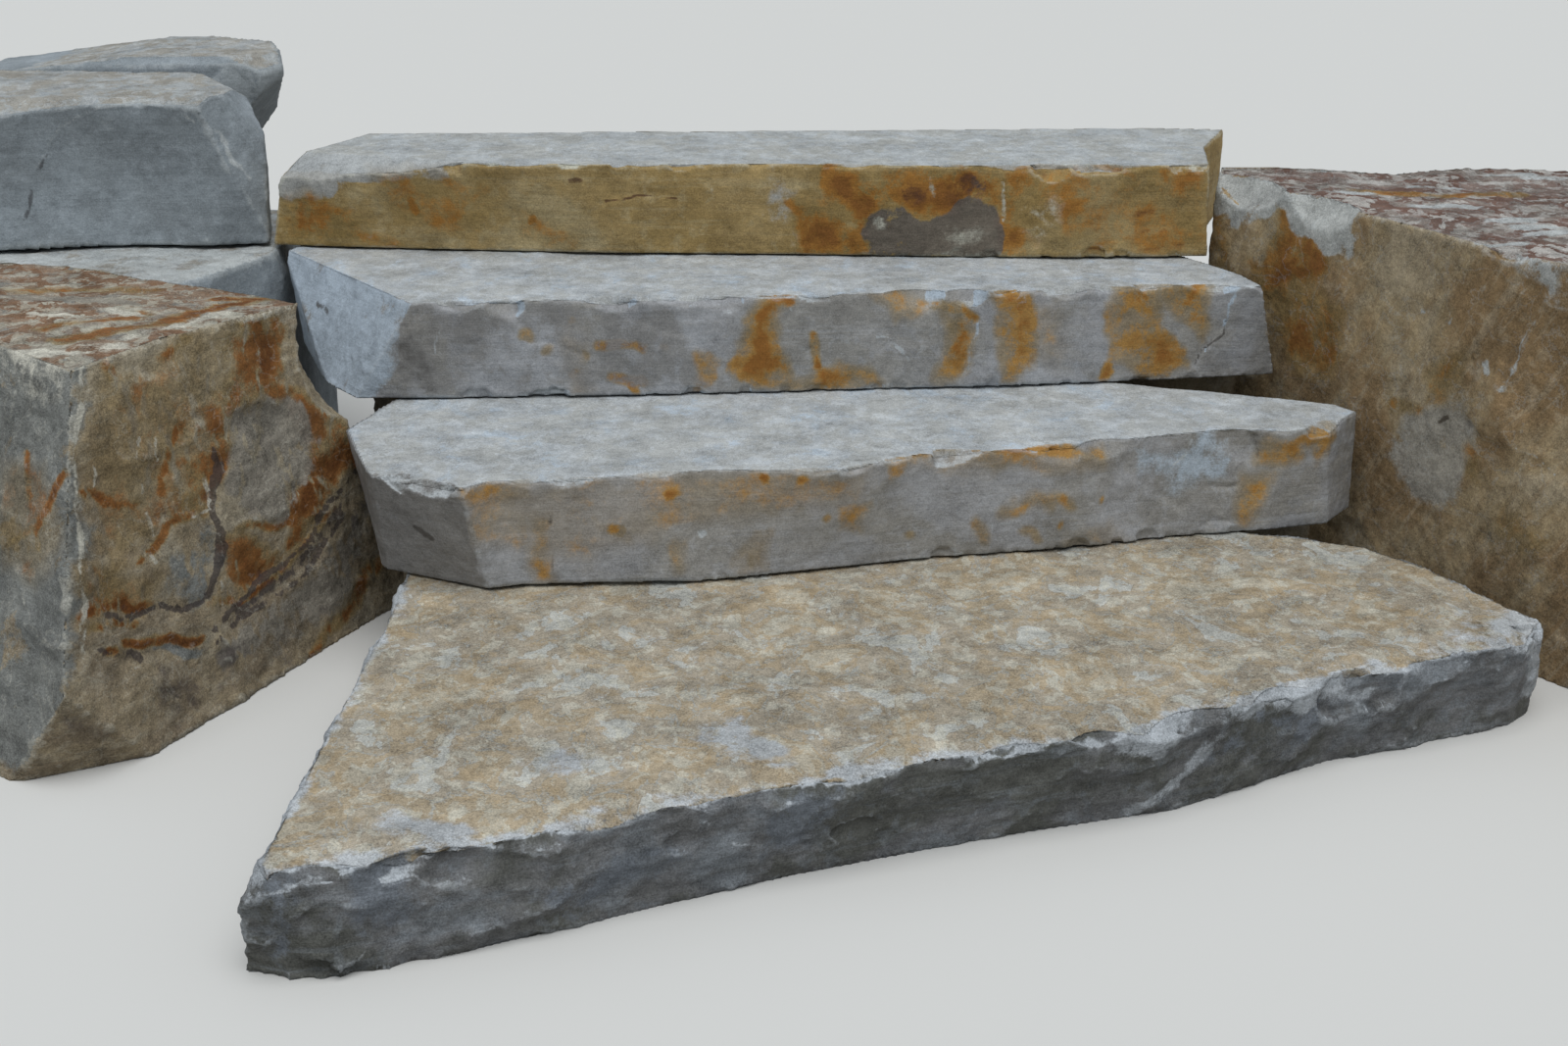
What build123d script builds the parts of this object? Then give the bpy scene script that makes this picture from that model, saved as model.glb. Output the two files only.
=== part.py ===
from build123d import *

import math
import os
import random

os.makedirs("parts", exist_ok=True)

# Garden steps: four split sandstone slabs, each lying on the one below it, between facing boulders.
# Millimetres. +X is to the right of someone who walks up, +Y is up the flight and +Z is up.
# The origin is on the ground under the bottom step, on the middle line of the flight.

# How far each tread is above the one before it, and the bottom one above the ground
rise_1 = 150
rise_2 = 175
rise_3 = 170
rise_4 = 170

# Front arris of the bottom step on the middle line, and from each front arris to the next
front_1 = -272
going_1 = 728
going_2 = 431
going_3 = 307

# How far a step runs in under the next one, and the open joints between stones
lap = 90
joint = 8
boulder_joint = 9

# Bearing stones that carry the upper steps behind the lower ones
bearing_spread = 0.16
bearing_inset = 25

# Facing boulders
left_lower_height = 560
left_upper_height = 275
left_rear_height = 795
left_rear_depth = 330
left_wall_length = 720
right_height = 642
right_length = 830
left_lower_gap = 40

# Worked out from the sizes above
level_1 = rise_1
level_2 = level_1 + rise_2
level_3 = level_2 + rise_3
level_4 = level_3 + rise_4
front_2 = front_1 + going_1
front_3 = front_2 + going_2
front_4 = front_3 + going_3


def outline_at(points, level, front):
    """Face through an outline given from a step's middle front point, at one height."""
    corners = [(x, front + y, level) for x, y in points]
    return make_face(Polyline(*corners, close=True))


def split_slab(top, base, front, low, high):
    """Slab between two bedding planes, each with an outline of its own."""
    return Solid(loft([outline_at(base, low, front), outline_at(top, high, front)], ruled=True).wrapped)


def block(points, low, high):
    """Straight-sided block on a plan outline."""
    plan = make_face(Polyline(*[(x, y, low) for x, y in points], close=True))
    return extrude(plan, high - low, dir=(0, 0, 1))


def heading(azimuth, tilt):
    """Unit vector at an azimuth from +X, tilted up from level by tilt degrees."""
    flat = math.cos(math.radians(tilt))
    return Vector(
        flat * math.cos(math.radians(azimuth)),
        flat * math.sin(math.radians(azimuth)),
        math.sin(math.radians(tilt)),
    )


def cleave(stone, point, azimuth, tilt):
    """Split the stone on a plane through a point and keep what lies behind the new face."""
    outward = heading(azimuth, tilt)
    return stone.split(Plane(origin=point, z_dir=outward), keep=Keep.BOTTOM)


def flake(stone, point, width, depth, azimuth, tilt):
    """Knock a shell-shaped flake off the stone, as wide and deep as given, at a point on its skin."""
    radius = width * width / (8 * depth) + depth / 2
    centre = Vector(*point) + heading(azimuth, tilt) * (radius - depth)
    return stone - Pos(centre.X, centre.Y, centre.Z) * Sphere(radius)


def front_at(outline, front, x):
    """Where a step's front edge stands at one x, read along its outline."""
    for (x_a, y_a), (x_b, y_b) in zip(outline, outline[1:]):
        if x_a <= x <= x_b:
            return front + y_a + (y_b - y_a) * (x - x_a) / (x_b - x_a)
    return front


def keep(name, stone):
    """Write one stone to its own file."""
    stones[name] = stone
    export_step(stone, "parts/" + name + ".step")


stones = {}

# Each outline starts at the left end of the front edge and runs along the front, round the
# right end and back along the hidden edge. Top and base have the same number of points.

# Top step
top_step_top = [(-925, 70), (-700, 10), (-353, -8), (0, -4), (354, -16), (560, -22), (770, -6),
                (795, 180), (866, 380), (740, 400), (-812, 334), (-870, 180)]
top_step_base = [(-956, 84), (-700, 52), (-361, 17), (0, 4), (354, -20), (560, -24), (774, -14),
                 (800, 180), (866, 380), (740, 404), (-850, 334), (-956, 190)]

# Third step
third_front_top = [(-752, -52), (-566, -50), (-384, -26), (-38, -6), (150, 20), (356, 30), (681, 80),
                   (831, 67)]
third_front_base = [(-758, -52), (-560, -46), (-384, -38), (-38, -12), (150, 8), (356, 26), (681, 68),
                    (870, 105)]

# Second step
second_front_top = [(-486, -96), (-447, -58), (-356, -56), (-121, -2), (91, 3), (208, 73), (421, 113),
                    (572, 145), (680, 187), (803, 198), (896, 225)]
second_front_base = [(-456, -63), (-405, -46), (-330, -38), (-121, -28), (91, 32), (208, 66), (421, 110),
                     (572, 146), (680, 180), (803, 206), (905, 236)]

# Bottom step
bottom_front_top = [(-610, -230), (-500, -202), (-395, -167), (-268, -110), (0, 0), (258, 98), (498, 176),
                    (632, 255), (769, 341), (928, 411), (1088, 469)]
bottom_front_base = [(-642, -196), (-540, -222), (-395, -158), (-268, -98), (8, 34), (266, 134), (500, 208),
                     (640, 284), (776, 368), (934, 436), (1078, 492)]


def hidden_back(next_base, next_front, own_front, x):
    """Point on a step's back edge, in under the next step by the lap."""
    return (x, front_at(next_base, next_front, x) + lap - own_front)


# The third step's back edge runs in under the top step
third_back = [hidden_back(top_step_base, front_4, front_3, 700), hidden_back(top_step_base, front_4, front_3, -890)]
third_step_top = third_front_top + [(812, 156), (768, 250)] + third_back + [(-926, 349), (-862, 179)]
third_step_base = third_front_base + [(850, 170), (790, 260)] + third_back + [(-900, 330), (-815, 83)]

# The second step's back edge runs in under the third step
second_back = [
    hidden_back(third_front_base, front_3, front_2, 440),
    hidden_back(third_front_base, front_3, front_2, -640),
]
second_step_top = second_front_top + [(962, 316), (936, 361), (846, 397), (646, 470)] + second_back + [
    (-716, 212), (-646, -4), (-634, -26)]

# The left end of the second step's base
second_left_base = [(-680, 215), (-638, 40), (-626, 22)]
second_front_line = second_left_base[-1:] + second_front_base
second_step_base = second_front_base + [(962, 321), (935, 370), (846, 405), (646, 474)] + second_back
second_step_base += second_left_base

# The bottom step's back edge shows at the right and runs in under the second step at the left
bottom_back = [
    hidden_back(second_front_line, front_2, front_1, 640),
    hidden_back(second_front_line, front_2, front_1, -592),
]
bottom_step_top = bottom_front_top + [(1132, 540), (1066, 658), (1018, 770), (943, 868), (869, 900), (750, 936)]
bottom_step_top += bottom_back + [(-588, 700)]
bottom_step_base = bottom_front_base + [(1128, 545), (1070, 662), (1014, 776), (946, 872), (866, 905), (750, 940)]
bottom_step_base += bottom_back + [(-600, 700)]


def build_bottom_step():
    """Broad slab that lies on the ground, with a rock-faced front set at a slant to the flight."""
    stone = split_slab(bottom_step_top, bottom_step_base, front_1, 0, level_1)
    # Long shells pitched off the upper arris, from left to right
    for x, width, depth, tilt in [(-560, 120, 16, 40), (-440, 90, 12, 50), (-215, 150, 14, 48),
                                  (90, 130, 14, 50), (300, 110, 16, 42), (415, 90, 18, 40),
                                  (560, 150, 22, 40), (700, 110, 20, 42), (860, 140, 15, 50)]:
        point = (x, front_at(bottom_step_top, front_1, x), level_1)
        stone = flake(stone, point, width, depth, -68, tilt)
    return cleave(stone, (1122, front_1 + 500, level_1 - 22), -20, 38)


def build_second_step():
    """Slab turned a little to the left, with a dark split facet at its left end."""
    stone = split_slab(second_step_top, second_step_base, front_2, level_1, level_2)
    for x, width, depth, tilt in [(-400, 60, 8, 50), (-200, 90, 9, 55), (30, 80, 7, 50),
                                  (520, 110, 26, 40), (740, 80, 8, 50)]:
        point = (x, front_at(second_step_top, front_2, x), level_2)
        stone = flake(stone, point, width, depth, -72, tilt)
    # A broad shallow shell out of the face at the right, and a thin one off the top of the end
    scar = (650, front_at(second_step_top, front_2, 650), level_2 - 0.45 * rise_2)
    stone = flake(stone, scar, 250, 13, -76, 4)
    return flake(stone, (892, front_2 + 244, level_2), 90, 9, -50, 66)


def build_third_step():
    """Slab with a broad raking facet across its left corner."""
    stone = split_slab(third_step_top, third_step_base, front_3, level_2, level_3)
    stone = cleave(stone, (-636, front_3 - 50, level_3 - 14), -144.5, 26.8)
    for x, width, depth, tilt in [(-240, 110, 7, 55), (60, 90, 8, 55), (222, 120, 26, 36),
                                  (312, 80, 24, 36), (560, 120, 8, 50), (735, 90, 12, 45)]:
        point = (x, front_at(third_step_top, front_3, x), level_3)
        stone = flake(stone, point, width, depth, -80, tilt)
    return stone


def build_top_step():
    """Landing slab, split away at the upper left of its face."""
    stone = split_slab(top_step_top, top_step_base, front_4, level_3, level_4)
    stone = cleave(stone, (-740, front_4 + 22, level_4 - 26), -112, 62)
    stone = cleave(stone, (-905, front_4 + 150, level_4 - 7), 190, 48)
    for x, width, depth, tilt in [(-870, 170, 36, 50), (-480, 120, 8, 60), (-250, 90, 8, 55), (120, 100, 7, 55),
                                  (410, 120, 9, 50), (640, 110, 7, 50)]:
        point = (x, front_at(top_step_top, front_4, x), level_4)
        stone = flake(stone, point, width, depth, -92, tilt)
    return stone


def build_left_lower_boulder():
    """Tall boulder beside the lower steps, leaning back, with a steep ridge towards the front."""
    right = second_step_top[-3][0] - left_lower_gap
    near = front_1 + 120
    far = front_3 + 60
    left = right - left_wall_length - 270
    stone = block([(left, near), (right + 120, near), (right + 120, far), (left, far)], 0, left_lower_height)
    ridge = (right - 234, front_1 + 461, left_lower_height)
    stone = cleave(stone, ridge, -23.5, 10.4)
    stone = cleave(stone, ridge, -132.8, 18)
    stone = cleave(stone, (right - 66, front_2 + 246, left_lower_height - 20), 59.6, 15.2)
    stone = cleave(stone, (right - 160, front_1 + 310, 150), -62, -24)
    stone = cleave(stone, (right - 330, front_1 + 300, 40), -96, -10)
    stone = cleave(stone, (right - 420, front_1 + 900, left_lower_height - 6), 60, 86)
    # A shell out of the rear corner of the face, high up, and one off the front corner
    stone = flake(stone, (right - 6, front_2 + 206, left_lower_height - 105), 170, 26, 20, 4)
    return flake(stone, (ridge[0] + 40, ridge[1] + 4, left_lower_height), 120, 12, -40, 50)


def build_left_middle_boulder():
    """Boulder behind the lower one, level with the third tread, that carries the upper one."""
    right = third_step_top[-2][0] - boulder_joint
    near = front_3 + 75
    far = front_4 + 450
    left = right - left_wall_length + 20
    stone = block([(left, near), (right - 90, near), (right, front_4 + 40), (right, far), (left, far)],
                  0, level_3)
    stone = cleave(stone, (right - 62, front_4 - 60, level_3), -24, 12)
    return cleave(stone, (right - 12, front_4 + 60, level_3 - 8), 4, 14)


def build_left_upper_boulder():
    """Rounded boulder on the middle one, with a great shell split out of its face."""
    right = top_step_base[0][0] - boulder_joint
    near = front_4 + 62
    left = right - left_wall_length + 30
    low = level_3
    high = low + left_upper_height
    plan = [(left, near - 70), (right - 390, near - 10), (right - 280, near - 8), (right - 140, near + 6),
            (right, near + 35), (right - 22, near + 140), (right - 110, near + 290), (right - 210, near + 385),
            (left, near + 420)]
    stone = block(plan, low, high)
    # The right shoulder falls away sideways and to the rear
    stone = cleave(stone, (right - 79, near + 157, high), 0, 36)
    stone = cleave(stone, (right - 79, near + 157, high), 28, 58)
    stone = cleave(stone, (right - 24, near + 46, low + 96), -34, 20)
    # The front of the top slopes down to the face
    stone = cleave(stone, (right - 190, near - 4, high - 26), -88, 66)
    stone = flake(stone, (right - 216, near + 2, low + 92), 400, 30, -90, 6)
    return flake(stone, (left + 130, near - 40, low + 90), 330, 30, -96, 4)


def build_left_rear_boulder():
    """Upright stone behind the upper boulder, of which only the flat head stands clear."""
    near = front_4 + 62 + 420 + boulder_joint
    right = top_step_base[0][0] - 64
    left = right - left_wall_length + 60
    far = near + left_rear_depth
    plan = [(left, near), (right - 30, near), (right, near + 60), (right - 60, far - 90), (right - 210, far),
            (left, far)]
    stone = block(plan, 0, left_rear_height)
    stone = cleave(stone, (right - 60, near + 20, left_rear_height - 14), -40, 60)
    stone = cleave(stone, (right - 200, near + 2, left_rear_height - 20), -90, 40)
    stone = cleave(stone, (right - 300, near + 60, left_rear_height), 176, 83)
    # The flat head noses out over a narrower shank
    return cleave(stone, (right, near + 60, left_rear_height - 50), -8, -42)


def build_right_boulder():
    """Long boulder that closes the flight at the right, from the top step to the bottom one."""
    tip_x, tip_y = top_step_base[6][0] + boulder_joint, front_4 + 4
    end_x, end_y = bottom_step_top[11][0] + boulder_joint, front_1 + bottom_step_top[11][1]
    far_x = end_x + right_length - 330
    plan = [(tip_x, tip_y), (end_x - 20, end_y + 164), (end_x + 160, end_y - 108), (end_x + 250, end_y - 190),
            (end_x + 400, end_y - 210), (far_x, end_y - 60), (far_x + 40, end_y + 420), (far_x - 80, tip_y + 40),
            (end_x + 120, tip_y + 95), (tip_x + 330, tip_y + 30), (tip_x + 140, tip_y + 92),
            (tip_x + 26, tip_y + 92)]
    stone = block(plan, 0, right_height)
    # The face is one long plane of cleavage with a slight bend in it
    stone = cleave(stone, (tip_x + 2, tip_y, 0), -154, 2)
    stone = cleave(stone, (end_x - 2, end_y + 185, 0), -145, 4)
    stone = cleave(stone, (end_x + 200, end_y - 150, 0), -122, 9)
    stone = cleave(stone, (tip_x + 4, tip_y, right_height - 16), 176, 42)
    # Shells off the upper arris at the left, and a great one out of the face at the right
    stone = flake(stone, (tip_x + 26, tip_y - 44, right_height), 260, 50, -150, 44)
    stone = flake(stone, (tip_x + 126, tip_y - 236, right_height), 230, 42, -154, 40)
    stone = flake(stone, (end_x - 40, end_y + 306, right_height), 140, 20, -148, 52)
    return flake(stone, (end_x + 39, end_y + 182, 0.72 * right_height), 310, 26, -145, 4)


def behind(back_edge, front, x):
    """Just behind a step at one x, on the straight line of its hidden back edge."""
    (x_a, y_a), (x_b, y_b) = back_edge
    return front + y_a + (y_b - y_a) * (x - x_a) / (x_b - x_a) + joint


def bearing_row(name, corners, low, high, count, seed):
    """Row of rough-squared stones that fills a four-cornered bed, with an open joint between them."""
    picker = random.Random(seed)
    near_left, near_right, far_right, far_left = [Vector(*corner) for corner in corners]
    cuts = [0.0]
    for k in range(1, count):
        cuts.append((k + picker.uniform(-bearing_spread, bearing_spread)) / count)
    cuts.append(1.0)
    near_length = (near_right - near_left).length
    far_length = (far_right - far_left).length
    for k in range(count):
        start = joint / 2 if k else 0
        stop = joint / 2 if k < count - 1 else 0
        near_a = near_left + (near_right - near_left) * (cuts[k] + start / near_length)
        near_b = near_left + (near_right - near_left) * (cuts[k + 1] - stop / near_length)
        far_a = far_left + (far_right - far_left) * (cuts[k] + start / far_length)
        far_b = far_left + (far_right - far_left) * (cuts[k + 1] - stop / far_length)
        plan = [(near_a.X, near_a.Y), (near_b.X, near_b.Y), (far_b.X, far_b.Y), (far_a.X, far_a.Y)]
        stone = block(plan, low, high)
        # A little knocked off two upright corners
        for corner, azimuth in [(near_a, 225), (far_b, 45)]:
            size = picker.uniform(8, 20)
            point = corner - heading(azimuth, 0) * size
            stone = cleave(stone, (point.X, point.Y, (low + high) / 2), azimuth + picker.uniform(-12, 12), 8)
        keep(name + "_" + str(k + 1), stone)


def bearing_stones():
    """Three beds of stones: one under the top step, two under the third and three under both."""
    back = front_4 + min(y for x, y in top_step_base[9:11]) - bearing_inset
    left = top_step_base[10][0] + bearing_inset
    right = top_step_base[7][0] - bearing_inset
    side = second_left_base[0][0] + 56
    front_row = [(side, behind(bottom_back, front_1, side)), (900, behind(bottom_back, front_1, 900)),
                 (820, behind(second_back, front_2, 820) - joint),
                 (side, behind(second_back, front_2, side) - joint)]
    middle_row = [(left + 130, behind(second_back, front_2, left + 130)),
                  (820, behind(second_back, front_2, 820)),
                  (right - 60, behind(third_back, front_3, right - 60) - joint),
                  (left + 60, behind(third_back, front_3, left + 60) - joint)]
    rear_row = [(left + 20, behind(third_back, front_3, left + 20)),
                (right - 60, behind(third_back, front_3, right - 60)), (right, back), (left, back)]
    bearing_row("second_step_bearing", front_row, 0, level_1, 4, 3)
    bearing_row("third_step_lower_bearing", middle_row, 0, level_1, 3, 5)
    bearing_row("third_step_upper_bearing", middle_row, level_1, level_2, 4, 8)
    bearing_row("top_step_lower_bearing", rear_row, 0, level_1, 4, 13)
    bearing_row("top_step_middle_bearing", rear_row, level_1, level_2, 3, 21)
    bearing_row("top_step_upper_bearing", rear_row, level_2, level_3, 4, 34)


keep("bottom_step", build_bottom_step())
keep("second_step", build_second_step())
keep("third_step", build_third_step())
keep("top_step", build_top_step())
keep("left_lower_boulder", build_left_lower_boulder())
keep("left_middle_boulder", build_left_middle_boulder())
keep("left_upper_boulder", build_left_upper_boulder())
keep("left_rear_boulder", build_left_rear_boulder())
keep("right_boulder", build_right_boulder())
bearing_stones()
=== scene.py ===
import math

import bmesh
import bpy
import numpy as np
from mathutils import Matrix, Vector


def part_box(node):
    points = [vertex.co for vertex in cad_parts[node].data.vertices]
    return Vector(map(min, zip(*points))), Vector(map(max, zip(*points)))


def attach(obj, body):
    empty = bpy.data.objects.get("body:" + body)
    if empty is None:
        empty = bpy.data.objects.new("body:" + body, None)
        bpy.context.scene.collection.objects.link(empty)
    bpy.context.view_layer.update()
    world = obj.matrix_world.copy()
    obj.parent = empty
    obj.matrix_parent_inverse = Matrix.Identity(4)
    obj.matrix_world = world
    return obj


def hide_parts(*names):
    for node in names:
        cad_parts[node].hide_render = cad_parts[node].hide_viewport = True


# Garden steps of split sandstone between facing boulders, seen from the foot of the flight.
# Metres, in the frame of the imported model. Names that end in _mm are millimetres, and so are
# the places of chips, scars and stains, which are written as they would be measured on the stone.

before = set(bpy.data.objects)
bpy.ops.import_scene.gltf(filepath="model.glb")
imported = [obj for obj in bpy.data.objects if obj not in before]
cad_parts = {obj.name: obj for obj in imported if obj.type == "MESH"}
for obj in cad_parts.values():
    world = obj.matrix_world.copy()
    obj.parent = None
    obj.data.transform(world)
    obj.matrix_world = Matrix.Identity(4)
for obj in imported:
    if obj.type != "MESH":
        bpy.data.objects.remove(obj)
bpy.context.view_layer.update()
MM = 0.001


# Noise, worked on many points at once


def smooth_step(low, high, value):
    """0 below low, 1 above high and an eased ramp between."""
    t = np.clip((value - low) / (high - low), 0.0, 1.0)
    return t * t * (3.0 - 2.0 * t)


LATTICE = 64
slopes = np.random.default_rng(1).uniform(-1.0, 1.0, (LATTICE ** 3, 3)).astype(np.float32)
CORNERS = [(a, b, c) for a in (0, 1) for b in (0, 1) for c in (0, 1)]
NEIGHBOURS = [(a, b, c) for a in (-1, 0, 1) for b in (-1, 0, 1) for c in (-1, 0, 1)]


def lumps(places, size_mm, seed, stretch=(1.0, 1.0, 1.0)):
    """Smooth noise from about -1 to 1, with lumps of one size, stretched along the axes."""
    grid = (places / (size_mm * MM * np.array(stretch)) + seed * 7.31).astype(np.float32)
    cell = np.floor(grid)
    inside = grid - cell
    cell = cell.astype(np.int64)
    ease = inside ** 3 * (inside * (inside * 6.0 - 15.0) + 10.0)
    total = np.zeros(len(places), dtype=np.float32)
    for corner in CORNERS:
        a, b, c = ((cell + corner) % LATTICE).T
        slope = slopes[(a * LATTICE + b) * LATTICE + c]
        weight = np.prod(np.where(corner, ease, 1.0 - ease), axis=1)
        total += weight * np.einsum("ij,ij->i", slope, inside - np.array(corner, dtype=np.float32))
    return total.astype(float) * 1.6


def rough(places, size_mm, octaves, seed, stretch=(1.0, 1.0, 1.0), fade=0.5):
    """Noise with finer and finer lumps, each octave half as large and lower by the fade."""
    total = np.zeros(len(places))
    for k in range(octaves):
        total += lumps(places, size_mm / 2 ** k, seed + 3 * k, stretch) * fade ** k
    return total


def leaves(value, edge):
    """Turn smooth noise into flats with steep edges, as stone splits in thin leaves."""
    whole = np.floor(value)
    return whole + smooth_step(1.0 - edge, 1.0, value - whole)


def shells(places, size_mm, seed, stretch):
    """Shell-shaped hollows side by side, as hammered stone breaks.

    Gives the height, from about -0.25 in the hollows to 0.4 on the crests between them, how far a
    point is from a crest, 0 on it, and a number from -1 to 1 for each shell.
    """
    grid = places / (size_mm * MM * np.array(stretch)) + seed * 3.17
    cell = np.floor(grid).astype(np.int64)
    first = np.full(len(places), 9.0)
    second = first.copy()
    number = np.zeros(len(places))
    for corner in NEIGHBOURS:
        a, b, c = ((cell + corner) % LATTICE).T
        shift = slopes[(a * LATTICE + b) * LATTICE + c]
        far = ((grid - cell - corner - 0.5 - 0.42 * shift) ** 2).sum(axis=1)
        number = np.where(far < first, shift[:, 0], number)
        second = np.minimum(second, np.maximum(first, far))
        first = np.minimum(first, far)
    return first - 0.25, np.sqrt(second) - np.sqrt(first), number


def heading(azimuth, tilt):
    """Unit vector at an azimuth from +X, tilted up by tilt degrees."""
    a, t = math.radians(azimuth), math.radians(tilt)
    return np.array([math.cos(a) * math.cos(t), math.sin(a) * math.cos(t), math.sin(t)])


# Meshes


def bake_modifiers(stone):
    """Make the modifiers' result the stone's own mesh."""
    seen = stone.evaluated_get(bpy.context.evaluated_depsgraph_get())
    made = bpy.data.meshes.new_from_object(seen)
    stone.modifiers.clear()
    stone.data = made


def voxel_copy(node, voxel_mm):
    """Copy of a packed stone's mesh, rebuilt as an even skin that can take relief."""
    shell = bmesh.new()
    shell.from_mesh(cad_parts[node].data)
    bmesh.ops.remove_doubles(shell, verts=shell.verts, dist=0.00002)
    mesh = bpy.data.meshes.new(node + "_stone")
    shell.to_mesh(mesh)
    shell.free()
    stone = bpy.data.objects.new(node + "_stone", mesh)
    bpy.context.scene.collection.objects.link(stone)
    skin = stone.modifiers.new("skin", "REMESH")
    skin.mode = "VOXEL"
    skin.voxel_size = voxel_mm * MM
    bake_modifiers(stone)
    return stone


def read(stone, what):
    """The stone's points ("co") or their normals ("normal")."""
    flat = np.empty(len(stone.data.vertices) * 3)
    stone.data.vertices.foreach_get(what, flat)
    return flat.reshape(-1, 3)


def thin_out(stone, triangles):
    """Merge the flattest faces until the stone has about this many triangles."""
    have = sum(len(p.vertices) - 2 for p in stone.data.polygons)
    if have > triangles:
        fewer = stone.modifiers.new("fewer", "DECIMATE")
        fewer.ratio = triangles / have
        bake_modifiers(stone)


def crests(stone, rounds, height_mm):
    """How far each point stands above its eased surroundings, 1 on ridges and -1 in hollows."""
    places = read(stone, "co")
    ends = np.empty(len(stone.data.edges) * 2, dtype=np.int64)
    stone.data.edges.foreach_get("vertices", ends)
    near, far = ends.reshape(-1, 2).T
    links = np.bincount(near, minlength=len(places)) + np.bincount(far, minlength=len(places))
    eased = places.copy()
    for _ in range(rounds):
        total = np.stack([np.bincount(near, side[far], len(places))
                          + np.bincount(far, side[near], len(places)) for side in eased.T], axis=1)
        eased = 0.4 * eased + 0.6 * total / np.maximum(links, 1)[:, None]
    height = np.einsum("ij,ij->i", places - eased, read(stone, "normal"))
    return np.clip(height / (height_mm * MM), -1.0, 1.0)


def store(stone, name, values):
    """Keep one number a point on the mesh, for the material to read."""
    layer = stone.data.attributes.new(name, "FLOAT", "POINT")
    layer.data.foreach_set("value", values.astype(np.float32))


# Dressing a stone: each tool works on the whole skin of one stone


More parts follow.
